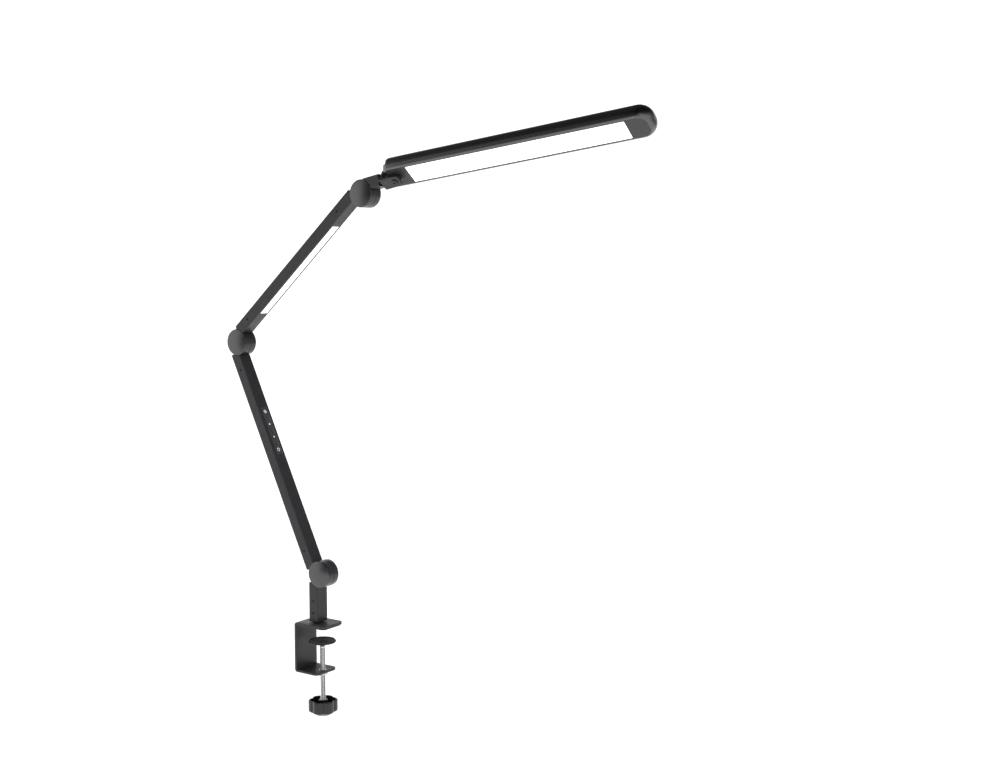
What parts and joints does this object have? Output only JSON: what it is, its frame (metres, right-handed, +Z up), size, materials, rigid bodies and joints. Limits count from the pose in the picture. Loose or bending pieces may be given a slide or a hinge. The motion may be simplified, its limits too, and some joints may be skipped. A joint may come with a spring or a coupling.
{
  "type": "architect desk lamp",
  "caption": "Bench-clamped desk lamp with folding square-tube arms on drum joints, an L-shaped head bracket, a long lit bar and a lit strip under the upper arm.",
  "frame": {"origin": "underside of the rubber under the top jaw, on the axis of the clamp screw", "axes": "+Z up, +X out over the desk, Y along the joint axes of the arms"},
  "size_m": [0.7181, 0.0778, 0.8824],
  "materials": {
    "black_paint": "satin black powder coat",
    "black_aluminium": "black anodised square tube",
    "disc_finish": "turned and black anodised disc",
    "gloss_shell": "gloss black",
    "dark_plastic": "fine matt black",
    "steel": "zinc plated",
    "chrome": "bright plated",
    "rubber": "matt black",
    "nylon": "black nylon",
    "diffuser": "opal, lit from behind",
    "board": "white solder mask",
    "light_guide": "clear"
  },
  "bodies": {
    "clamp": {"clamp_bracket": "black_paint", "jaw_liner": "rubber", "clamp_nut": "steel"},
    "pad": {"pad_face": "rubber", "pad_disc": "black_paint"},
    "screw": {"clamp_screw": "chrome", "clamp_knob": "dark_plastic"},
    "post": {"post_tube": "black_aluminium", "post_foot_plug": "black_aluminium", "post_foot_washer": "nylon", "post_foot_bolt": "steel", "post_knuckle": "black_aluminium", "post_screw_top": "nylon", "post_screw_foot": "nylon", "power_inlet": "dark_plastic", "joint1_rear_cap": "disc_finish", "joint1_bolt": "steel", "joint1_nut": "steel", "joint1_washer": "nylon"},
    "lower_arm": {"lower_arm_tube": "black_aluminium", "lower_arm_bottom_knuckle": "black_aluminium", "lower_arm_screw_bottom": "nylon", "lower_arm_screw_top": "nylon", "touch_panel": "dark_plastic", "touch_board": "board", "joint1_front_cap": "disc_finish", "lower_arm_top_knuckle": "black_aluminium", "joint2_rear_cap": "disc_finish", "joint2_bolt": "steel", "joint2_nut": "steel", "joint2_washer": "nylon"},
    "upper_arm": {"upper_arm_tube": "black_aluminium", "upper_arm_bottom_knuckle": "black_aluminium", "upper_arm_screw_bottom": "nylon", "upper_arm_screw_top": "nylon", "strip_diffuser": "diffuser", "strip_board": "board", "joint2_front_cap": "disc_finish", "upper_arm_top_knuckle": "black_aluminium", "joint3_rear_cap": "disc_finish", "joint3_bolt": "steel", "joint3_nut": "steel", "joint3_washer": "nylon"},
    "neck": {"neck_tube": "black_aluminium", "neck_knuckle": "black_aluminium", "neck_end_plug": "black_aluminium", "joint3_front_cap": "disc_finish"},
    "bracket": {"head_bracket": "black_paint", "roll_washer": "nylon", "roll_bolt": "steel"},
    "light_bar": {"head_shell": "gloss_shell", "head_bezel": "dark_plastic", "head_diffuser": "diffuser", "light_guide": "light_guide", "reflector_sheet": "board", "led_board_near": "board", "led_board_far": "board", "pivot_collar": "black_paint", "pivot_bolt": "steel"}
  },
  "joints": [
    {"name": "pad_travel", "type": "slide", "parent": "clamp", "child": "pad", "axis": [0, 0, 1], "range_m": [-0.037, 0.0205]},
    {"name": "screw_turn", "type": "hinge", "parent": "pad", "child": "screw", "pos_m": [0, 0, -0.07], "axis": [0, 0, 1], "range_deg": [-10660, 5910]},
    {"name": "post_turn", "type": "hinge", "parent": "clamp", "child": "post", "pos_m": [-0.0076, 0, 0.0055], "axis": [0, 0, 1], "range_deg": [-170, 170]},
    {"name": "first_drum", "type": "hinge", "parent": "post", "child": "lower_arm", "pos_m": [0.0036, 0, 0.0805], "axis": [0, 1, 0], "range_deg": [-35, 60]},
    {"name": "second_drum", "type": "hinge", "parent": "lower_arm", "child": "upper_arm", "pos_m": [-0.1594, 0, 0.42377], "axis": [0, 1, 0], "range_deg": [-70, 45]},
    {"name": "third_drum", "type": "hinge", "parent": "upper_arm", "child": "neck", "pos_m": [0.09078, 0, 0.64355], "axis": [0, 1, 0], "range_deg": [-75, 40]},
    {"name": "head_roll", "type": "hinge", "parent": "neck", "child": "bracket", "pos_m": [0.08868, 0, 0.65455], "axis": [0.9823, 0, 0.1874], "range_deg": [-50, 125]},
    {"name": "head_swing", "type": "hinge", "parent": "bracket", "child": "light_bar", "pos_m": [0.14889, -0.00125, 0.66444], "axis": [-0.1464, 0.6239, 0.7677], "range_deg": [-19.8, 9.7]}
  ],
  "couplings": [
    {"joint": "screw_turn", "follows": "pad_travel", "rad_per_m": 5026.5}
  ]
}
